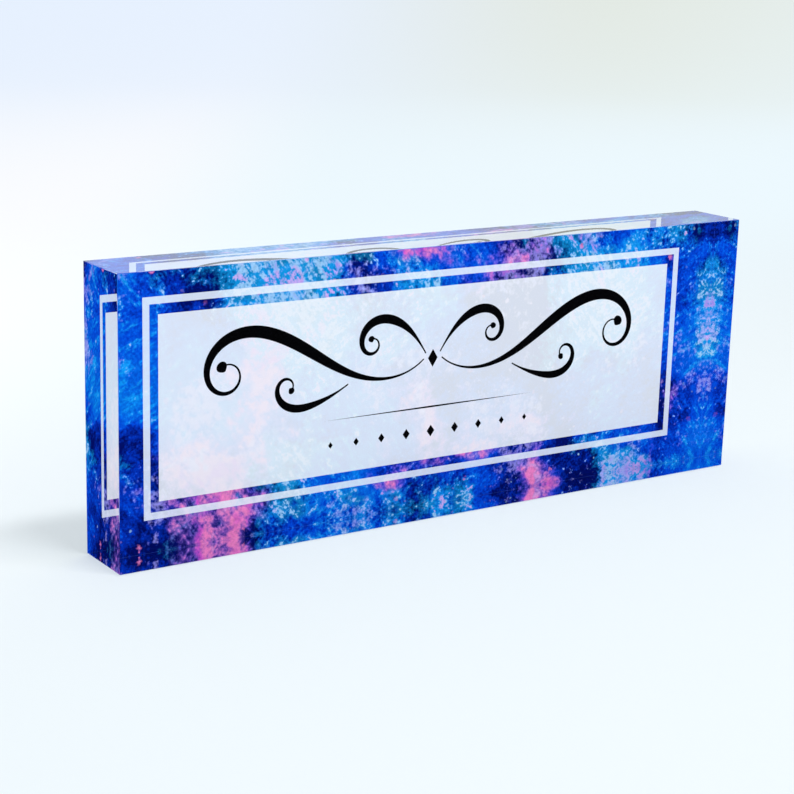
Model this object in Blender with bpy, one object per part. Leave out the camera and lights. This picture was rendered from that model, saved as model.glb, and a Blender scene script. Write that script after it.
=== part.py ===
"""Desk name block: a clear polished acrylic block with a printed film bonded to its back face.

The part stands on a desk. +X runs along its length to the reader's right, -Y points at the
reader and +Z is up. The origin is on the desk, at the centre of the footprint.
All lengths are in metres.
"""

import math

import bmesh
import bpy

# The block, sawn from nominal 3/4 inch cast sheet, which is 18 mm thick, and flame polished
BLOCK_LENGTH = 0.2032
BLOCK_HEIGHT = 0.0762
BLOCK_DEPTH = 0.0180
ARRIS = 0.00025

# The layers behind the block, each a clearance behind the one before
LAYER_GAP = 0.0003
ADHESIVE_THICKNESS = 0.00005
INK_THICKNESS = 0.00005
FILM_THICKNESS = 0.00015
FILM_INSET = 0.0002

# The print, measured in from the block's own edges to the outside of the white frame line
MARGIN_LEFT = 0.0124
MARGIN_RIGHT = 0.0139
MARGIN_TOP = 0.00905
MARGIN_BOTTOM = 0.0089
FRAME_LINE_WIDTH = 0.0019
INNER_BAND_SIDE = 0.0024
INNER_BAND_LEVEL = 0.0027

# The black rule, pointed at both ends
RULE_BELOW_MIDDLE = 0.0094
RULE_LENGTH = 0.0700
RULE_WIDTH = 0.0005

# The row of lozenges under the rule: the middle one's size, shrinking towards the ends
ROW_BELOW_MIDDLE = 0.0164
ROW_COUNT = 9
ROW_PITCH = 0.0082
ROW_HALF_WIDTH = 0.0013
ROW_TALLER = 1.3
ROW_END_SHARE = 0.55

# The ornament over the rule: a lozenge in the middle, and on each side three pen strokes
ORNAMENT_ABOVE_MIDDLE = 0.0045
LOZENGE_HALF_WIDTH = 0.0016
LOZENGE_TALLER = 1.6

# Each pen stroke starts at a point beside the lozenge, with a heading in degrees up from the
# horizontal and a radius of bend, positive where it bends upwards. Each leg has a length and the
# radius that it ends with, and its curvature changes steadily between the two.
# The line swells from a fine point to its full width and ends in a round ball.
SCROLL_START = (0.0030, 0.0)
SCROLL_HEADING = -40.0
SCROLL_FIRST_RADIUS = 0.0161
SCROLL_LEGS = ((0.020, 0.0294), (0.030, -0.0417), (0.022, -0.0102), (0.030, -0.0030))
SCROLL_WIDTH = 0.0034
SCROLL_SWELL_AT = 0.50
SCROLL_BALL = 0.0015

CREST_START = (0.0024, 0.0016)
CREST_HEADING = 58.0
CREST_FIRST_RADIUS = -0.0833
CREST_LEGS = ((0.014, -0.0143), (0.014, -0.0050), (0.014, -0.00161))
CREST_WIDTH = 0.0026
CREST_SWELL_AT = 0.42
CREST_BALL = 0.0009

SPRAY_START = (0.0275, -0.0044)
SPRAY_HEADING = -30.0
SPRAY_FIRST_RADIUS = 0.0500
SPRAY_LEGS = ((0.012, 0.0333), (0.012, 0.0050), (0.012, 0.00161))
SPRAY_WIDTH = 0.0022
SPRAY_SWELL_AT = 0.48
SPRAY_BALL = 0.0009

PEN_POINT = 0.0004

# How finely the strokes are drawn: the longest step, the widest turn in degrees, the steps in a
# ball's radius, and the short step in which a path is worked out
STROKE_STEP = 0.0020
STROKE_TURN = 11.0
BALL_STEPS = 4
TRACE_STEP = 0.00005

# Colours as linear red, green and blue
CLEAR = (0.93, 0.96, 0.98)
BORDER_BLUE = (0.030, 0.110, 0.600)
BLACK = (0.004, 0.004, 0.005)
PALE_WHITE = (0.76, 0.82, 0.95)

# Places of the layers, from the front face at the reader's side to the back
ADHESIVE_FRONT = BLOCK_DEPTH + LAYER_GAP
INK_FRONT = ADHESIVE_FRONT + ADHESIVE_THICKNESS + LAYER_GAP
FILM_FRONT = INK_FRONT + INK_THICKNESS + LAYER_GAP
OVERALL_DEPTH = FILM_FRONT + FILM_THICKNESS
FRONT_Y = -OVERALL_DEPTH / 2


def clear_scene():
    """Remove whatever objects the open file holds."""
    for item in list(bpy.data.objects):
        bpy.data.objects.remove(item, do_unlink=True)


def make_material(name, colour, roughness, alpha=1.0, transmission=0.0):
    """A plain finish for one kind of piece."""
    material = bpy.data.materials.new(name)
    material.use_nodes = True
    shader = material.node_tree.nodes["Principled BSDF"]
    shader.inputs["Base Color"].default_value = (*colour, 1.0)
    shader.inputs["Roughness"].default_value = roughness
    shader.inputs["Metallic"].default_value = 0.0
    shader.inputs["Alpha"].default_value = alpha
    shader.inputs["Transmission Weight"].default_value = transmission
    material.diffuse_color = (*colour, alpha)
    return material


def add_object(name, mesh_data, material, location):
    """Put a finished bmesh in the scene as one named piece."""
    bmesh.ops.recalc_face_normals(mesh_data, faces=mesh_data.faces)
    mesh = bpy.data.meshes.new(name)
    mesh_data.to_mesh(mesh)
    mesh_data.free()
    mesh.materials.append(material)
    piece = bpy.data.objects.new(name, mesh)
    piece.location = location
    bpy.context.scene.collection.objects.link(piece)
    return piece


def thicken(mesh_data, depth):
    """Draw every face of a flat mesh in the XZ plane back along +Y into a solid."""
    drawn = bmesh.ops.extrude_face_region(mesh_data, geom=mesh_data.faces[:])
    moved = [item for item in drawn["geom"] if isinstance(item, bmesh.types.BMVert)]
    bmesh.ops.translate(mesh_data, vec=(0.0, depth, 0.0), verts=moved)


def rectangle_corners(left, right, bottom, top):
    """The four corners of an upright rectangle, in order."""
    return ((left, bottom), (right, bottom), (right, top), (left, top))


def block_edges(inset):
    """The block's outline drawn in by an inset: left, right, bottom and top."""
    half = BLOCK_LENGTH / 2
    return -half + inset, half - inset, inset, BLOCK_HEIGHT - inset


def frame_line_edges(side_inset, level_inset):
    """The white frame line's outer edges drawn in by the given insets."""
    half = BLOCK_LENGTH / 2
    left = -half + MARGIN_LEFT + side_inset
    right = half - MARGIN_RIGHT - side_inset
    bottom = MARGIN_BOTTOM + level_inset
    top = BLOCK_HEIGHT - MARGIN_TOP - level_inset
    return left, right, bottom, top


def panel_middle():
    """The middle of the printed panel, a little left of the block's own middle."""
    left, right, bottom, top = frame_line_edges(0.0, 0.0)
    return (left + right) / 2, (bottom + top) / 2


def make_plate(name, edges, front, thickness, material):
    """A flat rectangular layer, its front face the given distance behind the block's front."""
    plate = bmesh.new()
    plate.faces.new([plate.verts.new((x, 0.0, z)) for x, z in rectangle_corners(*edges)])
    thicken(plate, thickness)
    return add_object(name, plate, material, (0.0, FRONT_Y + front, 0.0))


def make_band(name, outer, inner, material):
    """A rectangular ring of ink between two outlines."""
    band = bmesh.new()
    loops = []
    for edges in (outer, inner):
        corners = [band.verts.new((x, 0.0, z)) for x, z in rectangle_corners(*edges)]
        for here, there in zip(corners, corners[1:] + corners[:1]):
            loops.append(band.edges.new((here, there)))
    bmesh.ops.bridge_loops(band, edges=loops)
    thicken(band, INK_THICKNESS)
    return add_object(name, band, material, (0.0, FRONT_Y + INK_FRONT, 0.0))


def pen_path(start, heading, first_radius, legs):
    """Points, headings and lengths travelled along a stroke whose bend changes steadily."""
    x, z = start
    angle = math.radians(heading)
    travelled = 0.0
    path = [(x, z, angle, travelled)]
    bend_last = 1.0 / first_radius
    for length, last_radius in legs:
        bend_first, bend_last = bend_last, 1.0 / last_radius
        steps = round(length / TRACE_STEP)
        step = length / steps
        for index in range(steps):
            bend = bend_first + (bend_last - bend_first) * (index + 0.5) / steps
            angle += bend * step / 2
            x += math.cos(angle) * step
            z += math.sin(angle) * step
            angle += bend * step / 2
            travelled += step
            path.append((x, z, angle, travelled))
    return path


def pick_sections(path, ball):
    """The points of a traced path that a stroke needs: more where it bends and along its ball."""
    total = path[-1][3]
    picked = [path[0]]
    for point in path[1:-1]:
        step = point[3] - picked[-1][3]
        turn = abs(point[2] - picked[-1][2])
        in_ball = point[3] > total - 2 * ball
        longest = ball / BALL_STEPS if in_ball else STROKE_STEP
        if step >= longest or turn >= math.radians(STROKE_TURN):
            picked.append(point)
    return picked + [path[-1]]


def pen_width(travelled, total, full_width, swell_at, ball):
    """The line's width: a fine point, a swelling, a fine neck and a ball at the end."""
    share = travelled / total
    rise = share / swell_at if share < swell_at else (1.0 - share) / (1.0 - swell_at)
    line = PEN_POINT + (full_width - PEN_POINT) * math.sin(math.pi / 2 * rise) ** 2
    from_ball_centre = travelled - (total - ball)
    if abs(from_ball_centre) >= ball:
        return line
    return max(line, 2 * math.sqrt(ball ** 2 - from_ball_centre ** 2))


def make_stroke(name, side, path, full_width, swell_at, ball, material):
    """One pen stroke of the ornament; side is 1 to the right of the lozenge and -1 to its left."""
    total = path[-1][3]
    stroke = bmesh.new()
    pairs = []
    for x, z, angle, travelled in pick_sections(path, ball):
        half = pen_width(travelled, total, full_width, swell_at, ball) / 2
        across = (-math.sin(angle) * half, math.cos(angle) * half)
        upper = stroke.verts.new((side * (x + across[0]), 0.0, z + across[1]))
        lower = stroke.verts.new((side * (x - across[0]), 0.0, z - across[1]))
        pairs.append((upper, lower))
    for (upper, lower), (next_upper, next_lower) in zip(pairs, pairs[1:]):
        stroke.faces.new((lower, next_lower, next_upper, upper))
    thicken(stroke, INK_THICKNESS)
    middle_x, middle_z = panel_middle()
    location = (middle_x, FRONT_Y + INK_FRONT, middle_z + ORNAMENT_ABOVE_MIDDLE)
    return add_object(name, stroke, material, location)


def make_lozenge(name, x, z, half_width, half_height, material):
    """An upright lozenge of ink centred on a point."""
    lozenge = bmesh.new()
    corners = ((half_width, 0.0), (0.0, half_height), (-half_width, 0.0), (0.0, -half_height))
    lozenge.faces.new([lozenge.verts.new((east, 0.0, north)) for east, north in corners])
    thicken(lozenge, INK_THICKNESS)
    return add_object(name, lozenge, material, (x, FRONT_Y + INK_FRONT, z))


def make_block(material):
    """The clear block, with every edge broken by a small arris."""
    block = bmesh.new()
    bmesh.ops.create_cube(block, size=1.0)
    bmesh.ops.scale(block, vec=(BLOCK_LENGTH, BLOCK_DEPTH, BLOCK_HEIGHT), verts=block.verts)
    centre = (0.0, FRONT_Y + BLOCK_DEPTH / 2, BLOCK_HEIGHT / 2)
    piece = add_object("acrylic_block", block, material, centre)
    arris = piece.modifiers.new("arris", "BEVEL")
    arris.width = ARRIS
    arris.segments = 1
    arris.limit_method = "ANGLE"
    return piece


def make_film_and_bond(clear, white):
    """The bonding film and the white film that carries the print, both a little short of the edges."""
    edges = block_edges(FILM_INSET)
    make_plate("optical_adhesive", edges, ADHESIVE_FRONT, ADHESIVE_THICKNESS, clear)
    make_plate("print_film", edges, FILM_FRONT, FILM_THICKNESS, white)


def make_border(blue):
    """The two coloured bands, with the bare white frame line between them."""
    outside = frame_line_edges(0.0, 0.0)
    inside = frame_line_edges(FRAME_LINE_WIDTH, FRAME_LINE_WIDTH)
    panel = frame_line_edges(FRAME_LINE_WIDTH + INNER_BAND_SIDE, FRAME_LINE_WIDTH + INNER_BAND_LEVEL)
    make_band("border_ink_outer", block_edges(FILM_INSET), outside, blue)
    make_band("border_ink_inner", inside, panel, blue)


def make_ornament(black):
    """The middle lozenge and its three pairs of pen strokes."""
    middle_x, middle_z = panel_middle()
    make_lozenge("centre_lozenge", middle_x, middle_z + ORNAMENT_ABOVE_MIDDLE,
                 LOZENGE_HALF_WIDTH, LOZENGE_HALF_WIDTH * LOZENGE_TALLER, black)
    scroll = pen_path(SCROLL_START, SCROLL_HEADING, SCROLL_FIRST_RADIUS, SCROLL_LEGS)
    crest = pen_path(CREST_START, CREST_HEADING, CREST_FIRST_RADIUS, CREST_LEGS)
    spray = pen_path(SPRAY_START, SPRAY_HEADING, SPRAY_FIRST_RADIUS, SPRAY_LEGS)
    for hand, side in (("left", -1), ("right", 1)):
        make_stroke(f"scroll_{hand}", side, scroll, SCROLL_WIDTH, SCROLL_SWELL_AT, SCROLL_BALL, black)
        make_stroke(f"crest_{hand}", side, crest, CREST_WIDTH, CREST_SWELL_AT, CREST_BALL, black)
        make_stroke(f"spray_{hand}", side, spray, SPRAY_WIDTH, SPRAY_SWELL_AT, SPRAY_BALL, black)


def make_rule_and_row(black):
    """The pointed rule, and the row of lozenges that shrink towards its ends."""
    middle_x, middle_z = panel_middle()
    rule_z = middle_z - RULE_BELOW_MIDDLE
    make_lozenge("divider_rule", middle_x, rule_z, RULE_LENGTH / 2, RULE_WIDTH / 2, black)
    middle_index = (ROW_COUNT - 1) / 2
    for index in range(ROW_COUNT):
        outward = abs(index - middle_index) / middle_index
        half_width = ROW_HALF_WIDTH * (1.0 - (1.0 - ROW_END_SHARE) * outward)
        x = middle_x + (index - middle_index) * ROW_PITCH
        make_lozenge(f"row_lozenge_{index + 1}", x, middle_z - ROW_BELOW_MIDDLE,
                     half_width, half_width * ROW_TALLER, black)


def main():
    """Build the name block."""
    clear_scene()
    clear = make_material("clear_acrylic", CLEAR, 0.02, alpha=0.35, transmission=1.0)
    bond = make_material("clear_bond", CLEAR, 0.05, alpha=0.35, transmission=1.0)
    white = make_material("white_film", PALE_WHITE, 0.45)
    blue = make_material("border_ink", BORDER_BLUE, 0.50)
    black = make_material("black_ink", BLACK, 0.50)
    make_block(clear)
    make_film_and_bond(bond, white)
    make_border(blue)
    make_ornament(black)
    make_rule_and_row(black)


main()
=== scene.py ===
"""Looks of the clear acrylic desk name block: polished block, bonded print, ornament, studio.

Lengths are in metres in the part's own frame: +X to the reader's right along the block, -Y
towards the reader, +Z up, with the desk at z = 0. Patterns are laid out in millimetres.
"""

import logging
import math
from collections.abc import Sequence
from dataclasses import dataclass
from enum import Enum

import bmesh
import bpy
from mathutils import Matrix, Vector


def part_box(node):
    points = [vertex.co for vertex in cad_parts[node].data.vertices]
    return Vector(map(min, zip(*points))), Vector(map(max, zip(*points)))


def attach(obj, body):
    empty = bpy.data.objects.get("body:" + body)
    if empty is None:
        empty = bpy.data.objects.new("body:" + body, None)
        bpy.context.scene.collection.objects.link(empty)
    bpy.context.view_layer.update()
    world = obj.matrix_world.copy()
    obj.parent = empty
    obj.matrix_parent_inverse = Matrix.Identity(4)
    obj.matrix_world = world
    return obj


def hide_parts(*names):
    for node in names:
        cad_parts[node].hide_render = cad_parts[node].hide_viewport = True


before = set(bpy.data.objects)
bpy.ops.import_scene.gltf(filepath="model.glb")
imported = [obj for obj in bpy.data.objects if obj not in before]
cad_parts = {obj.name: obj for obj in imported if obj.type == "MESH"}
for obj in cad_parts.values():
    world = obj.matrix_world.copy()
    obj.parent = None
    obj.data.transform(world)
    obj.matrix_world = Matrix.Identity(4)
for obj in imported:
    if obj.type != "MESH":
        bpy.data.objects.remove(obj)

LOG = logging.getLogger("name_block")
BODY = "root"
MILLIMETRE = 0.001

Colour = tuple[float, float, float]
Place = tuple[float, float, float]
Section = tuple[float, float, float, float]
Shape = bmesh.types.BMesh
Socket = bpy.types.NodeSocket
Thing = bpy.types.Object

# The middle of a noise's range, and the places of a Mix node's colour sockets.
NOISE_MIDDLE = 0.5
MIX_SHARE, MIX_UNDER, MIX_OVER, MIX_RESULT = 0, 6, 7, 2


@dataclass(frozen=True)
class Rectangle:
    """An upright rectangle in the print's plane: left, right, bottom and top."""

    left: float
    right: float
    bottom: float
    top: float

    @classmethod
    def of_node(cls, node: str) -> "Rectangle":
        """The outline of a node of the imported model, seen from the front."""
        low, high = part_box(node)
        return cls(low.x, high.x, low.z, high.z)

    @property
    def middle(self) -> tuple[float, float]:
        """The rectangle's middle, as (x, z)."""
        return (self.left + self.right) / 2, (self.bottom + self.top) / 2

    def inset(self, side: float, level: float) -> "Rectangle":
        """This rectangle drawn in at its sides and at its levels, or out by a negative amount."""
        return Rectangle(self.left + side, self.right - side, self.bottom + level, self.top - level)

    def corners(self) -> tuple[tuple[float, float], ...]:
        """The four corners in order.

        Returns:
            Each corner as (x, z), from the lower left one round by the right.
        """
        return (
            (self.left, self.bottom),
            (self.right, self.bottom),
            (self.right, self.top),
            (self.left, self.top),
        )


@dataclass(frozen=True)
class Step:
    """A smooth step: the values where it starts and ends, and what it gives before and after."""

    start: float
    end: float
    before: float = 0.0
    after: float = 1.0


@dataclass(frozen=True)
class Blots:
    """A cloudy noise: its widest blots in millimetres, its octaves, their strength and its shift."""

    width: float
    octaves: float = 4.0
    strength: float = 0.55
    shift: Place | None = None


class Bench:
    """A material's node tree, with short calls for the nodes that the finishes share."""

    def __init__(self, name: str) -> None:
        """Start a material that holds nothing but its output.

        Args:
            name: the material's name.
        """
        self.material: bpy.types.Material = bpy.data.materials.new(name)
        self.material.use_nodes = True
        self.tree: bpy.types.NodeTree = self.material.node_tree
        self.tree.nodes.clear()
        self.output: bpy.types.Node = self.tree.nodes.new("ShaderNodeOutputMaterial")

    def node(self, kind: str, sockets: dict[str | int, object] | None = None) -> bpy.types.Node:
        """Add a node and fill its inputs.

        Args:
            kind: the node's type, without the leading words "ShaderNode".
            sockets: input names or numbers, each with a constant or with the output that feeds it.

        Returns:
            The new node.
        """
        node = self.tree.nodes.new("ShaderNode" + kind)
        for name, value in (sockets or {}).items():
            self.feed(node.inputs[name], value)
        return node

    def feed(self, socket: Socket, value: object) -> None:
        """Link an output to a socket, or set the socket's own value.

        Args:
            socket: the input to fill.
            value: an output's socket, or a constant.
        """
        if isinstance(value, Socket):
            self.tree.links.new(value, socket)
        else:
            socket.default_value = value

    def place(self) -> Socket:
        """The surface point in the part's frame, in millimetres."""
        return self.vector("SCALE", self.node("TexCoord").outputs["Object"], scale=1.0 / MILLIMETRE)

    def vector(self, work: str, first: object, second: object = None, scale: float = 1.0) -> Socket:
        """One step of vector arithmetic.

        Args:
            work: the operation's name, such as ADD, SUBTRACT or SCALE.
            first: the first vector, linked or constant.
            second: the second vector, for the operations that take one.
            scale: the factor, for SCALE.

        Returns:
            The resulting vector's socket.
        """
        node = self.node("VectorMath")
        node.operation = work
        self.feed(node.inputs[0], first)
        if second is not None:
            self.feed(node.inputs[1], second)
        if work == "SCALE":
            node.inputs["Scale"].default_value = scale
        return node.outputs["Vector"]

    def distance(self, where: Socket) -> Socket:
        """How far a point lies from the origin.

        Args:
            where: the point.

        Returns:
            The distance's socket.
        """
        node = self.node("VectorMath", {0: where})
        node.operation = "LENGTH"
        return node.outputs["Value"]

    def math(self, work: str, first: object, second: object, clamp: bool = False) -> Socket:
        """One step of arithmetic.

        Args:
            work: the operation's name, such as ADD or MULTIPLY.
            first: the first number, linked or constant.
            second: the second number, linked or constant.
            clamp: whether the result is kept between 0 and 1.

        Returns:
            The result's socket.
        """
        node = self.node("Math")
        node.operation = work
        node.use_clamp = clamp
        self.feed(node.inputs[0], first)
        self.feed(node.inputs[1], second)
        return node.outputs["Value"]

    def sum(self, start: object, *parts: tuple[Socket, float]) -> Socket:
        """A number with weighted parts added to it.

        Args:
            start: the number that the parts are added to, linked or constant.
            parts: each part with its weight.

        Returns:
            The sum's socket.
        """
        total = start
        for part, weight in parts:
            total = self.math("ADD", total, self.math("MULTIPLY", part, weight))
        return total

    def noise(self, where: Socket, blots: Blots, output: str = "Fac") -> Socket:
        """Cloudy noise.

        Args:
            where: the point in millimetres.
            blots: the noise's kind.
            output: Fac for a number about 0.5, or Color for three of them.

        Returns:
            The noise's socket.
        """
        if blots.shift is not None:
            where = self.vector("ADD", where, blots.shift)
        return self.node("TexNoise", {
            "Vector": where,
            "Scale": 1.0 / blots.width,
            "Detail": blots.octaves,
            "Roughness": blots.strength,
        }).outputs[output]

    def swing(self, where: Socket, blots: Blots) -> Socket:
        """Cloudy noise that swings about zero, from about -0.4 to 0.4."""
        return self.math("SUBTRACT", self.noise(where, blots), NOISE_MIDDLE)

    def ease(self, value: Socket, step: Step) -> Socket:
        """A number that steps smoothly from one value to another as a value rises.

        Args:
            value: what is measured.
            step: where the step lies and what it gives.

        Returns:
            The result's socket.
        """
        node = self.node("MapRange", {
            "Value": value, "From Min": step.start, "From Max": step.end,
            "To Min": step.before, "To Max": step.after,
        })
        node.interpolation_type = "SMOOTHSTEP"
        return node.outputs["Result"]

    def mix(self, share: object, under: object, over: object, blend: str = "MIX") -> Socket:
        """Lay one colour over another.

        Args:
            share: how much of the upper colour shows, linked or constant.
            under: the lower colour.
            over: the upper colour.
            blend: the way they blend.

        Returns:
            The mixed colour's socket.
        """
        node = self.node("Mix")
        node.data_type = "RGBA"
        node.blend_type = blend
        node.clamp_factor = True
        node.clamp_result = True
        self.feed(node.inputs[MIX_SHARE], share)
        self.feed(node.inputs[MIX_UNDER], (*under, 1.0) if isinstance(under, tuple) else under)
        self.feed(node.inputs[MIX_OVER], (*over, 1.0) if isinstance(over, tuple) else over)
        return node.outputs[MIX_RESULT]

    def ramp(self, value: Socket, stops: Sequence[float], colours: Sequence[Colour]) -> Socket:
        """A colour that runs through stops as a value rises.

        Args:
            value: what is measured.
            stops: the values where a colour is reached.
            colours: each stop's colour.

        Returns:
            The colour's socket.
        """
        node = self.node("ValToRGB", {"Fac": value})
        elements = node.color_ramp.elements
        while len(elements) < len(stops):
            elements.new(1.0)
        for element, stop, colour in zip(elements, stops, colours):
            element.position = stop
            element.color = (*colour, 1.0)
        return node.outputs["Color"]

    def bump(self, height: Socket, depth: float) -> Socket:
        """A normal that follows a height, with the given depth in metres."""
        return self.node("Bump", {"Height": height, "Strength": 1.0, "Distance": depth}).outputs["Normal"]

    def finish(self, shader: Socket) -> bpy.types.Material:
        """Send a shader to the output and return the material."""
        self.tree.links.new(shader, self.output.inputs["Surface"])
        return self.material


@dataclass(frozen=True)
class PolishedAcrylic:
    """Clear cast acrylic, polished on every face, as one optical body with its bond."""

    tint: Colour = (0.990, 0.996, 1.0)
    index: float = 1.50
    smears: Blots = Blots(11.0, 3.0)
    haze: Step = Step(0.45, 0.75, 0.0, 0.006)
    past_first_face: float = 0.5
    first_face: Colour = (1.0, 1.0, 1.0)
    second_face: Colour = (0.30, 0.33, 0.36)

    def material(self) -> bpy.types.Material:
        """Clear acrylic that lets the lamp and the room light the print behind it.

        Lamp light that would cross the whole block is mostly turned back inside it by total
        reflection, so beyond a second face only a share goes on, and the block casts a shadow.

        Returns:
            The finished material.
        """
        bench = Bench("polished_acrylic")
        shader = bench.node("BsdfPrincipled", {
            "Base Color": (*self.tint, 1.0),
            "Roughness": bench.ease(bench.noise(bench.place(), self.smears), self.haze),
            "IOR": self.index,
            "Transmission Weight": 1.0,
        }).outputs["BSDF"]
        light = bench.node("LightPath").outputs
        beyond = bench.math("GREATER_THAN", light["Transparent Depth"], self.past_first_face)
        turned_back = bench.math("MULTIPLY", light["Is Shadow Ray"], beyond)
        passing = bench.mix(turned_back, self.first_face, self.second_face)
        open_way = bench.node("BsdfTransparent", {"Color": passing}).outputs["BSDF"]
        for ray in ("Is Diffuse Ray", "Is Shadow Ray"):
            shader = bench.node("MixShader", {0: light[ray], 1: shader, 2: open_way}).outputs[0]
        return bench.finish(shader)


class Ink(Enum):
    """The wash's inks, as linear colours."""

    NAVY = (0.0006, 0.0050, 0.130)
    DEEP = (0.0010, 0.0270, 0.420)
    ROYAL = (0.0010, 0.0640, 0.680)
    BRIGHT = (0.0020, 0.1350, 0.760)
    AZURE = (0.0040, 0.2700, 0.850)
    CYAN = (0.0080, 0.3700, 0.870)
    TEAL = (0.0080, 0.2700, 0.560)
    FROST = (0.3600, 0.6000, 0.880)
    LILAC = (0.3600, 0.3300, 0.840)
    VIOLET = (0.2000, 0.1100, 0.700)
    MAGENTA = (0.6400, 0.0700, 0.560)
    ROSE = (0.9000, 0.2300, 0.540)
    BLUSH = (0.6600, 0.4000, 0.820)


@dataclass(frozen=True)
class Tears:
    """How strongly each of the fine noises shows in something."""

    pigment: float = 0.0
    sponge: float = 0.0
    mottle: float = 0.0
    brush: float = 0.0


@dataclass(frozen=True)
class Sheet:
    """What the layers of the wash work with: the node tree, the point and the fine noises.

    The drawn point is the flat one moved about, so that blots have feathered outlines. Each fine
    noise swings about zero.
    """

    bench: Bench
    flat: Socket
    drawn: Socket
    pigment: Socket
    sponge: Socket
    mottle: Socket
    brush: Socket

    def torn(self, start: object, tears: Tears) -> Socket:
        """A number with the fine noises added to it.

        Args:
            start: the number, linked or constant.
            tears: how strongly each noise is added.

        Returns:
            The sum's socket.
        """
        parts = (
            (self.pigment, tears.pigment),
            (self.sponge, tears.sponge),
            (self.mottle, tears.mottle),
            (self.brush, tears.brush),
        )
        return self.bench.sum(start, *(part for part in parts if part[1] > 0.0))

    def cloud(self, blots: Blots, tears: Tears) -> Socket:
        """Large blots with edges torn by the fine noises."""
        return self.torn(self.bench.noise(self.drawn, blots), tears)


@dataclass(frozen=True)
class Ground:
    """The blue ground, from navy pools to azure clouds, with dry brush marks in its lighter parts."""

    inks: tuple[Ink, ...] = (Ink.NAVY, Ink.DEEP, Ink.ROYAL, Ink.BRIGHT, Ink.AZURE)
    stops: tuple[float, ...] = (0.38, 0.45, 0.515, 0.63, 0.75)
    mark_tears: Tears = Tears(sponge=0.5)
    mark_edge: Step = Step(0.02, 0.16)
    mark_share: Step = Step(0.47, 0.62, 0.0, 0.55)

    def paint(self, sheet: Sheet, tone: Socket) -> Socket:
        """Paint the ground.

        Args:
            sheet: the point and the fine noises.
            tone: how light the ground is.

        Returns:
            The colour's socket.
        """
        bench = sheet.bench
        blues = bench.ramp(tone, self.stops, [ink.value for ink in self.inks])
        marks = bench.ease(sheet.torn(sheet.brush, self.mark_tears), self.mark_edge)
        share = bench.math("MULTIPLY", marks, bench.ease(tone, self.mark_share))
        return bench.mix(share, blues, Ink.CYAN.value)


@dataclass(frozen=True)
class Frosting:
    """Cyan and teal clouds whose middles are dabbed with pale frosty leaves."""

    cloud: Blots = Blots(36.0, 3.0, 0.5, (90.0, 12.0, 40.0))
    cloud_tears: Tears = Tears(sponge=0.25, brush=0.15)
    cloud_share: Step = Step(0.512, 0.645, 0.0, 0.85)
    hue: Blots = Blots(9.0, 2.0)
    teal_share: Step = Step(0.50, 0.66)
    frost_share: Step = Step(0.36, 0.48)
    leaf_rise: Step = Step(0.54, 0.70, -0.25, 0.05)
    leaf_tears: Tears = Tears(pigment=0.3, sponge=0.6, brush=0.9)
    leaf_share: Step = Step(-0.06, 0.12, 0.0, 0.85)

    def paint(self, sheet: Sheet, under: Socket) -> Socket:
        """Lay the frosting over a colour.

        Args:
            sheet: the point and the fine noises.
            under: the colour below.

        Returns:
            The colour's socket.
        """
        bench = sheet.bench
        cloud = sheet.cloud(self.cloud, self.cloud_tears)
        hue = bench.noise(sheet.drawn, self.hue)
        tint = bench.mix(bench.ease(hue, self.teal_share), Ink.CYAN.value, Ink.TEAL.value)
        colour = bench.mix(bench.ease(cloud, self.cloud_share), under, tint)
        leaf = sheet.torn(bench.ease(cloud, self.leaf_rise), self.leaf_tears)
        pale = bench.mix(bench.ease(hue, self.frost_share), Ink.BLUSH.value, Ink.FROST.value)
        return bench.mix(bench.ease(leaf, self.leaf_share), colour, pale)


@dataclass(frozen=True)
class Blooms:
    """Soft pink blooms with violet round them, and lilac veils worn through to the blue."""

    veil: Blots = Blots(27.0, 3.0, 0.5, (33.0, 5.0, 71.0))
    veil_tears: Tears = Tears(sponge=0.55, mottle=0.20)
    veil_share: Step = Step(0.57, 0.72, 0.0, 0.75)
    bloom: Blots = Blots(32.0, 3.0, 0.5, (14.0, 60.0, 5.0))
    bloom_tears: Tears = Tears(sponge=0.22, mottle=0.28, brush=0.14)
    violet_share: Step = Step(0.530, 0.645, 0.0, 0.70)
    heat: Blots = Blots(9.0, 3.0, shift=(7.0, 1.0, 3.0))
    inks: tuple[Ink, ...] = (Ink.MAGENTA, Ink.ROSE, Ink.ROSE, Ink.BLUSH)
    stops: tuple[float, ...] = (0.36, 0.46, 0.54, 0.64)
    pink_share: Step = Step(0.582, 0.690, 0.0, 0.95)

    def paint(self, sheet: Sheet, under: Socket) -> Socket:
        """Lay the veils and the blooms over a colour.

        Args:
            sheet: the point and the fine noises.
            under: the colour below.

        Returns:
            The colour's socket.
        """
        bench = sheet.bench
        veil = sheet.cloud(self.veil, self.veil_tears)
        colour = bench.mix(bench.ease(veil, self.veil_share), under, Ink.LILAC.value)
        bloom = sheet.cloud(self.bloom, self.bloom_tears)
        colour = bench.mix(bench.ease(bloom, self.violet_share), colour, Ink.VIOLET.value)
        pink = bench.ramp(bench.noise(sheet.drawn, self.heat), self.stops, [ink.value for ink in self.inks])
        return bench.mix(bench.ease(bloom, self.pink_share), colour, pink)


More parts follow.
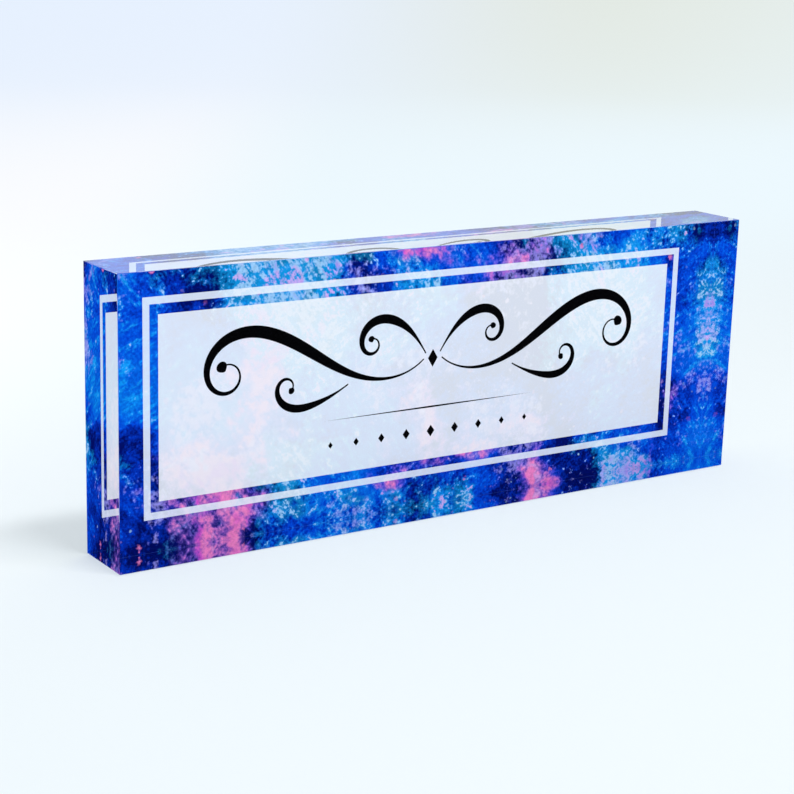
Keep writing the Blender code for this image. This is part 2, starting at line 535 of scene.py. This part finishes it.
@dataclass(frozen=True)
class Drops:
    """Splashed drops of one ink, which lie mostly on the dark pools."""

    ink: Ink
    spacing: float
    shift: Place
    rarity: float
    growth: float = 0.75
    bend: Blots = Blots(1.6, 2.0)
    bend_share: float = 0.5
    edge: Step = Step(-0.05, 0.08)
    regions: Blots = Blots(21.0, 2.0)
    region_edge: Step = Step(0.48, 0.60)
    on_dark: Step = Step(0.50, 0.42, 0.15, 1.0)
    cover: float = 0.9

    def paint(self, sheet: Sheet, tone: Socket, under: Socket) -> Socket:
        """Splash the drops over a colour.

        Args:
            sheet: the point and the fine noises.
            tone: how light the ground is.
            under: the colour below.

        Returns:
            The colour's socket.
        """
        bench = sheet.bench
        bent = bench.noise(sheet.flat, self.bend, output="Color")
        bent = bench.vector("SCALE", bent, scale=self.bend_share * self.spacing)
        spot = bench.vector("ADD", bench.vector("ADD", sheet.flat, self.shift), bent)
        cells = bench.node("TexVoronoi", {
            "Vector": spot, "Scale": 1.0 / self.spacing, "Randomness": 1.0,
        }).outputs
        pick = bench.node("SeparateColor", {"Color": cells["Color"]}).outputs["Red"]
        reach = bench.math("MULTIPLY", bench.math("SUBTRACT", pick, self.rarity), self.growth)
        drop = bench.ease(bench.math("SUBTRACT", reach, cells["Distance"]), self.edge)
        region = bench.ease(bench.noise(spot, self.regions), self.region_edge)
        share = bench.math("MULTIPLY", bench.math("MULTIPLY", drop, region), bench.ease(tone, self.on_dark))
        return bench.mix(bench.math("MULTIPLY", share, self.cover), under, self.ink.value)


@dataclass(frozen=True)
class InkWash:
    """A blotted wash of blue inks with frosted cyan, lilac and pink blooms, laid out by noise."""

    origin: Place = (3937.0, 0.0, -1319.0)
    drifts: tuple[tuple[Blots, float], ...] = ((Blots(19.0, 2.0), 22.0), (Blots(5.0, 2.0), 4.0))
    pigment: Blots = Blots(0.85, 2.0, 0.60)
    sponge: Blots = Blots(1.7, 3.0, 0.58)
    mottle: Blots = Blots(6.5, 4.0, 0.60)
    brush_hairs: Blots = Blots(1.3, 3.0, 0.60)
    brush_stretch: float = 4.0
    brush_slants: tuple[float, float] = (38.0, -62.0)
    brush_regions: Blots = Blots(45.0, 2.0)
    brush_change: Step = Step(0.46, 0.54)
    tone: Blots = Blots(42.0, 3.0, 0.5)
    tone_tears: Tears = Tears(pigment=0.20, mottle=0.32, brush=0.16)
    light_tears: Tears = Tears(pigment=0.55, sponge=0.25, mottle=0.20, brush=0.25)
    ground: Ground = Ground()
    frosting: Frosting = Frosting()
    blooms: Blooms = Blooms()
    drops: tuple[Drops, ...] = (
        Drops(Ink.FROST, spacing=1.9, shift=(3.0, 7.0, 1.0), rarity=0.62),
        Drops(Ink.BLUSH, spacing=3.0, shift=(40.0, 2.0, 23.0), rarity=0.66),
        Drops(Ink.ROSE, spacing=3.8, shift=(70.0, 9.0, 51.0), rarity=0.62),
    )

    def colour(self, bench: Bench) -> Socket:
        """Paint the wash.

        Args:
            bench: the node tree that it goes into.

        Returns:
            The colour's socket.
        """
        flat = bench.vector("ADD", bench.place(), self.origin)
        sheet = Sheet(
            bench=bench,
            flat=flat,
            drawn=self.drawn_out(bench, flat),
            pigment=bench.swing(flat, self.pigment),
            sponge=bench.swing(flat, self.sponge),
            mottle=bench.swing(flat, self.mottle),
            brush=self.brush(bench, flat),
        )
        tone = sheet.cloud(self.tone, self.tone_tears)
        wash = self.ground.paint(sheet, tone)
        wash = self.frosting.paint(sheet, wash)
        wash = self.blooms.paint(sheet, wash)
        for drops in self.drops:
            wash = drops.paint(sheet, tone, wash)
        light = sheet.torn(1.0, self.light_tears)
        grey = bench.node("CombineColor", {"Red": light, "Green": light, "Blue": light}).outputs["Color"]
        return bench.mix(1.0, wash, grey, blend="MULTIPLY")

    def drawn_out(self, bench: Bench, flat: Socket) -> Socket:
        """The point moved about by noise, a long way slowly and a short way quickly.

        Args:
            bench: the node tree.
            flat: the point in millimetres.

        Returns:
            The moved point.
        """
        moved = flat
        for blots, reach in self.drifts:
            drift = bench.vector("SUBTRACT", bench.noise(flat, blots, output="Color"), (NOISE_MIDDLE,) * 3)
            moved = bench.vector("ADD", moved, bench.vector("SCALE", drift, scale=reach))
        return moved

    def brush(self, bench: Bench, flat: Socket) -> Socket:
        """The marks of a dry brush, which lie one way in some places and another way in others.

        Args:
            bench: the node tree.
            flat: the point in millimetres.

        Returns:
            The marks' noise, swinging about zero.
        """
        marks = []
        for slant in self.brush_slants:
            turned = bench.node("VectorRotate", {
                "Vector": flat, "Axis": (0.0, 1.0, 0.0), "Angle": math.radians(slant),
            }).outputs["Vector"]
            along = bench.vector("MULTIPLY", turned, (1.0, 1.0, 1.0 / self.brush_stretch))
            marks.append(bench.swing(along, self.brush_hairs))
        where = bench.ease(bench.noise(flat, self.brush_regions), self.brush_change)
        gap = bench.math("SUBTRACT", marks[1], marks[0])
        return bench.math("ADD", marks[0], bench.math("MULTIPLY", gap, where))


@dataclass(frozen=True)
class InkedPaper:
    """The wash as it is printed: full strength, or as a ghost through a white veil."""

    name: str
    wash: InkWash
    ghost: float = 1.0
    white: Colour = (0.965, 0.969, 0.984)
    gamma: float = 2.2
    tooth: Blots = Blots(0.25, 2.0)
    roughness: Step = Step(0.3, 0.7, 0.36, 0.48)
    relief: float = 0.000002

    def material(self) -> bpy.types.Material:
        """The printed surface.

        Returns:
            The finished material.
        """
        bench = Bench(self.name)
        colour = self.wash.colour(bench)
        if self.ghost < 1.0:
            shown = bench.node("Gamma", {"Color": colour, "Gamma": 1.0 / self.gamma}).outputs["Color"]
            shown = bench.mix(self.ghost, self.white, shown)
            colour = bench.node("Gamma", {"Color": shown, "Gamma": self.gamma}).outputs["Color"]
        tooth = bench.noise(bench.place(), self.tooth)
        shader = bench.node("BsdfPrincipled", {
            "Base Color": colour,
            "Roughness": bench.ease(tooth, self.roughness),
            "Specular IOR Level": 0.0,
            "Normal": bench.bump(tooth, self.relief),
        })
        return bench.finish(shader.outputs["BSDF"])


@dataclass(frozen=True)
class BlackInk:
    """Dense black printing ink with a faint mottle."""

    dark: Colour = (0.0006, 0.0006, 0.0009)
    light: Colour = (0.0030, 0.0030, 0.0040)
    mottle: Blots = Blots(0.5, 3.0)
    light_share: Step = Step(0.35, 0.70)
    roughness: Step = Step(0.3, 0.7, 0.42, 0.55)
    relief: float = 0.000002

    def material(self) -> bpy.types.Material:
        """The ink's surface.

        Returns:
            The finished material.
        """
        bench = Bench("black_ink_print")
        mottle = bench.noise(bench.place(), self.mottle)
        shader = bench.node("BsdfPrincipled", {
            "Base Color": bench.mix(bench.ease(mottle, self.light_share), self.dark, self.light),
            "Roughness": bench.ease(mottle, self.roughness),
            "Specular IOR Level": 0.0,
            "Normal": bench.bump(mottle, self.relief),
        })
        return bench.finish(shader.outputs["BSDF"])


@dataclass(frozen=True)
class BackingVinyl:
    """The film's plain back: white vinyl with a fine grain and the long marks of a squeegee."""

    white: Colour = (0.81, 0.83, 0.865)
    shade: Colour = (0.78, 0.80, 0.842)
    clouds: Blots = Blots(16.0)
    marks: Blots = Blots(2.2, 3.0)
    mark_stretch: float = 26.0
    mark_shade: float = 0.45
    shade_share: Step = Step(0.52, 0.93)
    roughness: Step = Step(0.3, 0.7, 0.34, 0.50)
    grain_size: float = 0.45
    grain_disorder: float = 0.9
    mark_relief: float = 1.2
    relief: float = 0.000016

    def material(self) -> bpy.types.Material:
        """The back's surface.

        Returns:
            The finished material.
        """
        bench = Bench("backing_vinyl")
        place = bench.place()
        grain = bench.node("TexVoronoi", {
            "Vector": place, "Scale": 1.0 / self.grain_size, "Randomness": self.grain_disorder,
        }).outputs["Distance"]
        along = bench.vector("MULTIPLY", place, (1.0 / self.mark_stretch, 1.0, 1.0))
        marks = bench.noise(along, self.marks)
        shade = bench.sum(bench.noise(place, self.clouds), (marks, self.mark_shade))
        shader = bench.node("BsdfPrincipled", {
            "Base Color": bench.mix(bench.ease(shade, self.shade_share), self.white, self.shade),
            "Roughness": bench.ease(marks, self.roughness),
            "Normal": bench.bump(bench.sum(grain, (marks, self.mark_relief)), self.relief),
        })
        return bench.finish(shader.outputs["BSDF"])


def shaped(name: str, shape: Shape, material: bpy.types.Material) -> Thing:
    """Turn a finished bmesh into an object of the scene.

    Args:
        name: the object's name.
        shape: its mesh, which is freed.
        material: its finish.

    Returns:
        The object.
    """
    bmesh.ops.recalc_face_normals(shape, faces=shape.faces)
    mesh = bpy.data.meshes.new(name)
    shape.to_mesh(mesh)
    shape.free()
    mesh.materials.append(material)
    thing = bpy.data.objects.new(name, mesh)
    bpy.context.scene.collection.objects.link(thing)
    return thing


def make_piece(name: str, shape: Shape, material: bpy.types.Material,
               stands_for: Sequence[str] = ()) -> Thing:
    """Turn a finished bmesh into a piece of the part.

    Args:
        name: the piece's name.
        shape: its mesh, which is freed.
        material: its finish.
        stands_for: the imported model's nodes that it replaces.

    Returns:
        The piece, riding on the part's one body.
    """
    piece = shaped(name, shape, material)
    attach(piece, BODY)
    if stands_for:
        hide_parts(*stands_for)
    return piece


def thicken(shape: Shape, depth: float) -> None:
    """Draw a flat mesh in the XZ plane back along +Y into a solid.

    Args:
        shape: the flat mesh, changed in place.
        depth: the solid's thickness.
    """
    faces = shape.faces[:]
    rim = [edge for edge in shape.edges if edge.is_boundary]
    behind = {vert: shape.verts.new((vert.co.x, vert.co.y + depth, vert.co.z)) for vert in shape.verts[:]}
    for face in faces:
        shape.faces.new([behind[vert] for vert in reversed(face.verts)])
    for first, last in (edge.verts for edge in rim):
        shape.faces.new((first, last, behind[last], behind[first]))


@dataclass(frozen=True)
class Layers:
    """Where the layers at the block's back lie, worked out from the back of the film."""

    film_back: float
    film_depth: float = 0.00010
    block_overlap: float = 0.00003
    ornament_rise: float = 0.00001
    film_lip: float = 0.000004

    @property
    def print_face(self) -> float:
        """The y of the print's face."""
        return self.film_back - self.film_depth

    @property
    def block_back(self) -> float:
        """The y of the block's back, just past the print's face, so that no air lies between."""
        return self.print_face + self.block_overlap

    @property
    def ornament_face(self) -> float:
        """The y of the black ink's face, which stands proud of the print's."""
        return self.print_face - self.ornament_rise


@dataclass
class AcrylicBlock:
    """The polished block, as one clear body with the bond behind it."""

    outline: Rectangle
    front: float
    back: float
    finish: PolishedAcrylic
    arris: float = 0.00020
    arris_steps: int = 3

    def build(self) -> list[Thing]:
        """Model the block; the edges round its back stay sharp, where the film is trimmed flush.

        Returns:
            The block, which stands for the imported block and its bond.
        """
        block = bmesh.new()
        corners = [block.verts.new((x, self.front, z)) for x, z in self.outline.corners()]
        block.faces.new(corners)
        thicken(block, self.back - self.front)
        weight = block.edges.layers.float.new("bevel_weight_edge")
        for edge in block.edges:
            rounded = min(vert.co.y for vert in edge.verts) < self.back - self.arris
            edge[weight] = float(rounded)
            edge.smooth = rounded
        piece = make_piece("clear_block", block, self.finish.material(),
                           ("acrylic_block", "optical_adhesive"))
        piece.data.shade_smooth()
        arris = piece.modifiers.new("arris", "BEVEL")
        arris.width = self.arris
        arris.segments = self.arris_steps
        arris.limit_method = "WEIGHT"
        arris.harden_normals = True
        return [piece]


@dataclass
class PrintedFilm:
    """The white film and its printed areas, all in one plane at the back of the block."""

    edge: Rectangle
    inner_band: Rectangle
    face: float
    back: float
    wash: InkWash
    line_width: float = 0.0019
    band_side: float = 0.0024
    band_level: float = 0.0027
    trim_width: float = 0.00006
    ink_depth: float = 0.00002
    line_ghost: float = 0.12
    line_white: Colour = (0.945, 0.962, 1.0)
    panel_ghost: float = 0.10
    trim_ghost: float = 0.88

    @property
    def line(self) -> Rectangle:
        """The outside of the white frame line."""
        return self.inner_band.inset(-self.line_width, -self.line_width)

    @property
    def panel(self) -> Rectangle:
        """The pale panel that holds the ornament."""
        return self.inner_band.inset(self.band_side, self.band_level)

    def area(self, outer: Rectangle, inner: Rectangle | None, near: float, far: float) -> Shape:
        """A flat plate, or a rectangular ring of it.

        Args:
            outer: the plate's outline.
            inner: the window in it, or None for a whole plate.
            near: how far back its front face lies.
            far: how far back its back face lies.

        Returns:
            The solid as a bmesh.
        """
        shape = bmesh.new()
        rim = [shape.verts.new((x, near, z)) for x, z in outer.corners()]
        if inner is None:
            shape.faces.new(rim)
        else:
            window = [shape.verts.new((x, near, z)) for x, z in inner.corners()]
            for side in zip(rim, rim[1:] + rim[:1], window[1:] + window[:1], window):
                shape.faces.new(side)
        thicken(shape, far - near)
        return shape

    def build(self) -> list[Thing]:
        """Model the film and print its areas.

        Returns:
            The pieces, from the edge inwards and the film last.
        """
        border = InkedPaper("printed_border", self.wash).material()
        line = InkedPaper("frame_line_veil", self.wash, self.line_ghost, self.line_white).material()
        panel = InkedPaper("panel_veil", self.wash, self.panel_ghost).material()
        trim = InkedPaper("trimmed_margin", self.wash, self.trim_ghost).material()
        ink_back = self.face + self.ink_depth
        printed = self.edge.inset(self.trim_width, self.trim_width)
        areas = (
            ("trimmed_margin", self.edge, printed, trim, "white_film", ()),
            ("border_print_outer", printed, self.line, border, "border_ink", ("border_ink_outer",)),
            ("frame_line", self.line, self.inner_band, line, "white_film", ()),
            ("border_print_inner", self.inner_band, self.panel, border, "border_ink", ("border_ink_inner",)),
            ("name_panel", self.panel, None, panel, "white_film", ()),
        )
        pieces = [
            make_piece(name, self.area(outer, inner, self.face, ink_back), finish, nodes)
            for name, outer, inner, finish, slot, nodes in areas
        ]
        film = self.area(self.edge, None, ink_back, self.back)
        vinyl = BackingVinyl().material()
        return [*pieces, make_piece("backing_film", film, vinyl, ("print_film",))]


@dataclass(frozen=True)
class PenStroke:
    """One stroke of the ornament: where it starts, how it bends and how thick it is."""

    start: tuple[float, float]
    heading: float
    first_radius: float
    legs: tuple[tuple[float, float], ...]
    width: float
    swell_at: float
    ball: float
    pen_point: float = 0.0004
    trace_step: float = 0.00005
    longest_step: float = 0.0006
    widest_turn: float = math.radians(3.0)
    ball_steps: int = 12

    def path(self) -> list[Section]:
        """The stroke's middle line, closely traced.

        Returns:
            Points as (x, z, heading, length travelled).
        """
        x, z = self.start
        angle = math.radians(self.heading)
        travelled = 0.0
        path = [(x, z, angle, travelled)]
        bend_last = 1.0 / self.first_radius
        for length, last_radius in self.legs:
            bend_first, bend_last = bend_last, 1.0 / last_radius
            steps = round(length / self.trace_step)
            step = length / steps
            for index in range(steps):
                bend = bend_first + (bend_last - bend_first) * (index + 0.5) / steps
                angle += bend * step / 2
                x += math.cos(angle) * step
                z += math.sin(angle) * step
                angle += bend * step / 2
                travelled += step
                path.append((x, z, angle, travelled))
        return path

    def sections(self) -> list[Section]:
        """The traced points that the outline needs: more where it bends and along its ball.

        Returns:
            Points as (x, z, heading, length travelled).
        """
        path = self.path()
        total = path[-1][3]
        picked = [path[0]]
        for point in path[1:-1]:
            in_ball = point[3] > total - 2 * self.ball
            longest = self.ball / self.ball_steps if in_ball else self.longest_step
            turn = abs(point[2] - picked[-1][2])
            if point[3] - picked[-1][3] >= longest or turn >= self.widest_turn:
                picked.append(point)
        return picked + [path[-1]]

    def half_width(self, travelled: float, total: float) -> float:
        """Half the line's width: a fine point, a swelling, a fine neck and a ball.

        Args:
            travelled: how far along the stroke.
            total: the stroke's whole length.

        Returns:
            Half the width there.
        """
        share = travelled / total
        rise = share / self.swell_at if share < self.swell_at else (1.0 - share) / (1.0 - self.swell_at)
        line = self.pen_point + (self.width - self.pen_point) * math.sin(math.pi / 2 * rise) ** 2
        from_ball = travelled - (total - self.ball)
        if abs(from_ball) >= self.ball:
            return line / 2
        return max(line / 2, math.sqrt(self.ball ** 2 - from_ball ** 2))

    def shape(self, middle: tuple[float, float], near: float, depth: float, side: int) -> Shape:
        """The stroke as a thin solid of ink.

        Args:
            middle: the ornament's middle, as (x, z).
            near: how far back the ink's face lies.
            depth: the ink's thickness.
            side: 1 for the right-hand stroke and -1 for its mirror image.

        Returns:
            The solid as a bmesh.
        """
        sections = self.sections()
        total = sections[-1][3]
        stroke = bmesh.new()
        pairs = []
        for x, z, angle, travelled in sections:
            half = self.half_width(travelled, total)
            across = Vector((-math.sin(angle) * half, math.cos(angle) * half))
            pair = []
            for way in (1, -1):
                east = middle[0] + side * (x + way * across.x)
                north = middle[1] + z + way * across.y
                pair.append(stroke.verts.new((east, near, north)))
            pairs.append(pair)
        for (upper, lower), (next_upper, next_lower) in zip(pairs, pairs[1:]):
            stroke.faces.new((lower, next_lower, next_upper, upper))
        thicken(stroke, depth)
        return stroke


class Stroke(Enum):
    """The ornament's strokes, named by their place, drawn to the right of the middle."""

    SCROLL = PenStroke(
        start=(0.0030, 0.0), heading=-40.0, first_radius=0.0161,
        legs=((0.020, 0.0294), (0.030, -0.0417), (0.022, -0.0102), (0.030, -0.0030)),
        width=0.0034, swell_at=0.50, ball=0.0015)
    CREST = PenStroke(
        start=(0.0024, 0.0016), heading=58.0, first_radius=-0.0833,
        legs=((0.014, -0.0143), (0.014, -0.0050), (0.014, -0.00161)),
        width=0.0026, swell_at=0.42, ball=0.0009)
    SPRAY = PenStroke(
        start=(0.0275, -0.0044), heading=-30.0, first_radius=0.0500,
        legs=((0.012, 0.0333), (0.012, 0.0050), (0.012, 0.00161)),
        width=0.0022, swell_at=0.48, ball=0.0009)


@dataclass
class Ornament:
    """The black printing on the panel: pen strokes, a middle lozenge, a rule and a row of lozenges."""

    middle: tuple[float, float]
    near: float
    ink: BlackInk
    ink_depth: float = 0.000018
    row_count: int = 9

    def lozenge(self, node: str) -> Shape:
        """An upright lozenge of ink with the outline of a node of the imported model.

        Args:
            node: the node that it stands for.

        Returns:
            The solid as a bmesh.
        """
        outline = Rectangle.of_node(node)
        x, z = outline.middle
        points = ((outline.right, z), (x, outline.top), (outline.left, z), (x, outline.bottom))
        shape = bmesh.new()
        shape.faces.new([shape.verts.new((east, self.near, north)) for east, north in points])
        thicken(shape, self.ink_depth)
        return shape

    def build(self) -> list[Thing]:
        """Print the ornament: the three pairs of strokes, then the lozenges and the rule.

        Returns:
            Its pieces.
        """
        shapes = {}
        for stroke in Stroke:
            for hand, side in (("left", -1), ("right", 1)):
                node = f"{stroke.name.lower()}_{hand}"
                shapes[node] = stroke.value.shape(self.middle, self.near, self.ink_depth, side)
        row = [f"row_lozenge_{index + 1}" for index in range(self.row_count)]
        for node in ("centre_lozenge", "divider_rule", *row):
            shapes[node] = self.lozenge(node)
        black = self.ink.material()
        return [
            make_piece(f"{node}_print", shape, black, (node,))
            for node, shape in shapes.items()
        ]


@dataclass(frozen=True)
class SweepPaper:
    """Pale studio paper whose tone drifts with the place, as it does behind the photographed block.

    Rises run along y, away from the reader, and edges and turns across the slanted view. All are
    in millimetres. The glow is the share that shines evenly, which grows away from the block. The
    tone carries painted light and shade: a painted pool of light to the left, and painted shade
    far off, bluish on the left and greenish grey on the right.
    """

    near_tone: Colour = (0.784, 0.840, 0.864)
    fibre_tone: Colour = (0.80, 0.86, 0.90)
    middle_tone: Colour = (0.845, 0.945, 0.995)
    # Painted light: a paler pool painted on the paper to the left of the view.
    left_painted_light: Colour = (0.960, 0.975, 1.000)
    # Painted shade far off on the paper: darker, bluish on the left and greenish grey on the right.
    far_left_painted_shade: Colour = (0.800, 0.880, 1.000)
    far_right_painted_shade: Colour = (0.750, 0.785, 0.705)
    fibres: Blots = Blots(3.0, 3.0)
    fibre_share: float = 0.03
    view_slant: float = 0.68
    middle_rise: Step = Step(60.0, 400.0)
    # Where the painted pool of light lies, across the view and along y.
    painted_light_edge: Step = Step(-60.0, -260.0)
    painted_light_rise: Step = Step(-150.0, 350.0)
    # Where the painted shade far off turns from bluish to greenish grey, and where it rises in.
    painted_shade_turn: Step = Step(-250.0, 300.0)
    painted_shade_rise: Step = Step(500.0, 1500.0)
    glow: Step = Step(150.0, 650.0, 0.15, 0.95)
    roughness: float = 0.9

    def tone(self, bench: Bench, place: Socket) -> Socket:
        """The paper's colour, with painted light and painted shade laid on by place.

        Args:
            bench: the node tree.
            place: the point in millimetres.

        Returns:
            The colour's socket.
        """
        across, along, _ = bench.node("SeparateXYZ", {"Vector": place}).outputs
        slant = bench.math("SUBTRACT", across, bench.math("MULTIPLY", along, self.view_slant))
        fibres = bench.math("MULTIPLY", bench.noise(place, self.fibres), self.fibre_share)
        tone = bench.mix(fibres, self.near_tone, self.fibre_tone)
        tone = bench.mix(bench.ease(along, self.middle_rise), tone, self.middle_tone)
        # Painted light: a paler pool laid on the paper to the left of the view.
        left = bench.math("MULTIPLY", bench.ease(slant, self.painted_light_edge), bench.ease(along, self.painted_light_rise))
        tone = bench.mix(left, tone, self.left_painted_light)
        # Painted shade far off: darker, bluish on the left and greenish grey on the right.
        far = bench.mix(bench.ease(slant, self.painted_shade_turn), self.far_left_painted_shade, self.far_right_painted_shade)
        return bench.mix(bench.ease(along, self.painted_shade_rise), tone, far)

    def material(self) -> bpy.types.Material:
        """Paper that is lit near the block, where it keeps the shadow, and even further off.

        Returns:
            The finished material.
        """
        bench = Bench("studio_sweep")
        place = bench.place()
        tone = self.tone(bench, place)
        lit = bench.node("BsdfPrincipled", {
            "Base Color": tone, "Roughness": self.roughness, "Specular IOR Level": 0.0,
        }).outputs["BSDF"]
        even = bench.node("Emission", {"Color": tone, "Strength": 1.0}).outputs["Emission"]
        light = bench.node("LightPath").outputs
        seen = light["Is Camera Ray"]
        for ray in ("Is Glossy Ray", "Is Transmission Ray"):
            seen = bench.math("ADD", seen, light[ray], clamp=True)
        share = bench.math("MULTIPLY", seen, bench.ease(bench.distance(place), self.glow))
        return bench.finish(bench.node("MixShader", {0: share, 1: lit, 2: even}).outputs[0])


@dataclass(frozen=True)
class BlackFelt:
    """The black cards' felt."""

    dark: Colour = (0.002, 0.002, 0.002)
    light: Colour = (0.004, 0.004, 0.005)
    nap: Blots = Blots(2.0, 2.0)

    def material(self) -> bpy.types.Material:
        """The felt's surface.

        Returns:
            The finished material.
        """
        bench = Bench("black_felt")
        colour = bench.mix(bench.noise(bench.place(), self.nap), self.dark, self.light)
        return bench.finish(bench.node("BsdfDiffuse", {"Color": colour}).outputs["BSDF"])


@dataclass
class Sweep:
    """The pale dish that the block stands in: a floor that bends up into a low rim all round."""

    floor_drop: float = 0.00025
    floor_radius: float = 1.30
    bend_radius: float = 0.50
    bend_steps: int = 24
    turn_steps: int = 96
    weld: float = 0.000025

    def profile(self) -> list[tuple[float, float]]:
        """The dish's section from its middle: the floor and the quarter round.

        Returns:
            Points as (radius, z).
        """
        points = [(0.0, -self.floor_drop)]
        for step in range(self.bend_steps + 1):
            angle = math.pi / 2 * step / self.bend_steps
            points.append((
                self.floor_radius + self.bend_radius * math.sin(angle),
                -self.floor_drop + self.bend_radius * (1.0 - math.cos(angle)),
            ))
        return points

    def build(self) -> Thing:
        """Turn the section round into one curved sheet.

        Returns:
            The staged sheet.
        """
        shape = bmesh.new()
        points = [shape.verts.new((radius, 0.0, z)) for radius, z in self.profile()]
        edges = [shape.edges.new(pair) for pair in zip(points, points[1:])]
        bmesh.ops.spin(shape, geom=points + edges, cent=(0.0, 0.0, 0.0), axis=(0.0, 0.0, 1.0),
                       angle=math.tau, steps=self.turn_steps)
        bmesh.ops.remove_doubles(shape, verts=shape.verts[:], dist=self.weld)
        sheet = shaped("studio_sweep", shape, SweepPaper().material())
        sheet.data.shade_smooth()
        return sheet


@dataclass
class BlackCard:
    """A black card on the floor that only reflections see, to keep a polished face deep."""

    name: str
    left: float
    right: float
    front: float
    back: float
    felt: bpy.types.Material
    drop: float = 0.000125

    def build(self) -> Thing:
        """Lay the card.

        Returns:
            The staged card.
        """
        shape = bmesh.new()
        corners = (
            (self.left, self.front),
            (self.right, self.front),
            (self.right, self.back),
            (self.left, self.back),
        )
        shape.faces.new([shape.verts.new((x, y, -self.drop)) for x, y in corners])
        card = shaped(self.name, shape, self.felt)
        card.visible_camera = False
        card.visible_diffuse = False
        card.visible_transmission = False
        card.visible_shadow = False
        return card


@dataclass
class KeyLamp:
    """A soft lamp as wide as a window, high in front of the block."""

    place: Place = (0.18, -0.56, 1.40)
    aim: Place = (0.0, 0.0, 0.03)
    width: float = 0.52
    height: float = 0.20
    power: float = 8.4

    def build(self) -> Thing:
        """Hang the lamp and turn it to the block.

        Returns:
            The lamp.
        """
        light = bpy.data.lights.new("key_lamp", "AREA")
        light.shape = "RECTANGLE"
        light.size = self.width
        light.size_y = self.height
        light.energy = self.power
        lamp = bpy.data.objects.new("key_lamp", light)
        lamp.location = self.place
        lamp.rotation_euler = (Vector(self.aim) - lamp.location).to_track_quat("-Z", "Y").to_euler()
        bpy.context.scene.collection.objects.link(lamp)
        return lamp


@dataclass
class Room:
    """The room's even, faintly blue light."""

    colour: Colour = (0.975, 0.988, 1.0)
    strength: float = 0.85

    def build(self) -> None:
        """Light the room."""
        world = bpy.data.worlds.new("studio_room")
        world.use_nodes = True
        background = world.node_tree.nodes["Background"]
        background.inputs["Color"].default_value = (*self.colour, 1.0)
        background.inputs["Strength"].default_value = self.strength
        bpy.context.scene.world = world


@dataclass
class Studio:
    """The sweep, the two black cards, the room's light and the lamp."""

    block: Rectangle
    front: float
    card_reach: float = 3.0
    card_gap: float = 0.0005
    card_seam: float = 0.0001

    def build(self) -> None:
        """Set the studio up; the cards lie before the block and to its left, clear of it."""
        reach = self.card_reach
        edge = self.front - self.card_gap
        side = self.block.left - self.card_gap
        felt = BlackFelt().material()
        Sweep().build()
        BlackCard("front_card", -reach, reach, -reach, edge, felt).build()
        BlackCard("left_card", -reach, side, edge + self.card_seam, reach, felt).build()
        Room().build()
        KeyLamp().build()


@dataclass(frozen=True)
class Viewpoint:
    """The camera, by its place from a corner of the block and its angles of view, in degrees."""

    corner: Vector
    offset: Place = (-0.1902, -0.4003, 0.1600)
    bearing: float = 55.81
    down: float = 14.36
    roll: float = 1.66
    lens: float = 84.6
    sensor: float = 36.0

    def build(self) -> Thing:
        """Add the camera and make it the scene's own.

        Returns:
            The camera.
        """
        bearing, down, roll = (math.radians(angle) for angle in (self.bearing, self.down, self.roll))
        forward = Vector((
            math.cos(bearing) * math.cos(down), math.sin(bearing) * math.cos(down), -math.sin(down)))
        level = Vector((math.sin(bearing), -math.cos(bearing), 0.0))
        upright = level.cross(forward)
        right = math.cos(roll) * level + math.sin(roll) * upright
        up = math.cos(roll) * upright - math.sin(roll) * level
        data = bpy.data.cameras.new("camera")
        data.lens = self.lens
        data.sensor_width = self.sensor
        camera = bpy.data.objects.new("camera", data)
        turn = Matrix((right, up, -forward)).transposed()
        camera.matrix_world = Matrix.Translation(self.corner + Vector(self.offset)) @ turn.to_4x4()
        bpy.context.scene.collection.objects.link(camera)
        bpy.context.scene.camera = camera
        return camera


def main() -> None:
    """Dress the name block, set up its studio and report each piece."""
    logging.basicConfig(level=logging.INFO, format="%(message)s")
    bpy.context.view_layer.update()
    corner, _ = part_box("acrylic_block")
    outline = Rectangle.of_node("acrylic_block")
    layers = Layers(film_back=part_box("print_film")[1].y)

    Viewpoint(corner=corner).build()
    Studio(block=outline, front=corner.y).build()
    assemblies = (
        AcrylicBlock(
            outline=outline,
            front=corner.y,
            back=layers.block_back,
            finish=PolishedAcrylic(),
        ),
        PrintedFilm(
            edge=outline.inset(-layers.film_lip, -layers.film_lip),
            inner_band=Rectangle.of_node("border_ink_inner"),
            face=layers.print_face,
            back=layers.film_back,
            wash=InkWash(),
        ),
        Ornament(
            middle=Rectangle.of_node("centre_lozenge").middle,
            near=layers.ornament_face,
            ink=BlackInk(),
        ),
    )
    for assembly in assemblies:
        for piece in assembly.build():
            LOG.info("%s: %d faces", piece.name, len(piece.data.polygons))
    bpy.context.scene.view_settings.view_transform = "Standard"


if __name__ == "__main__":
    main()
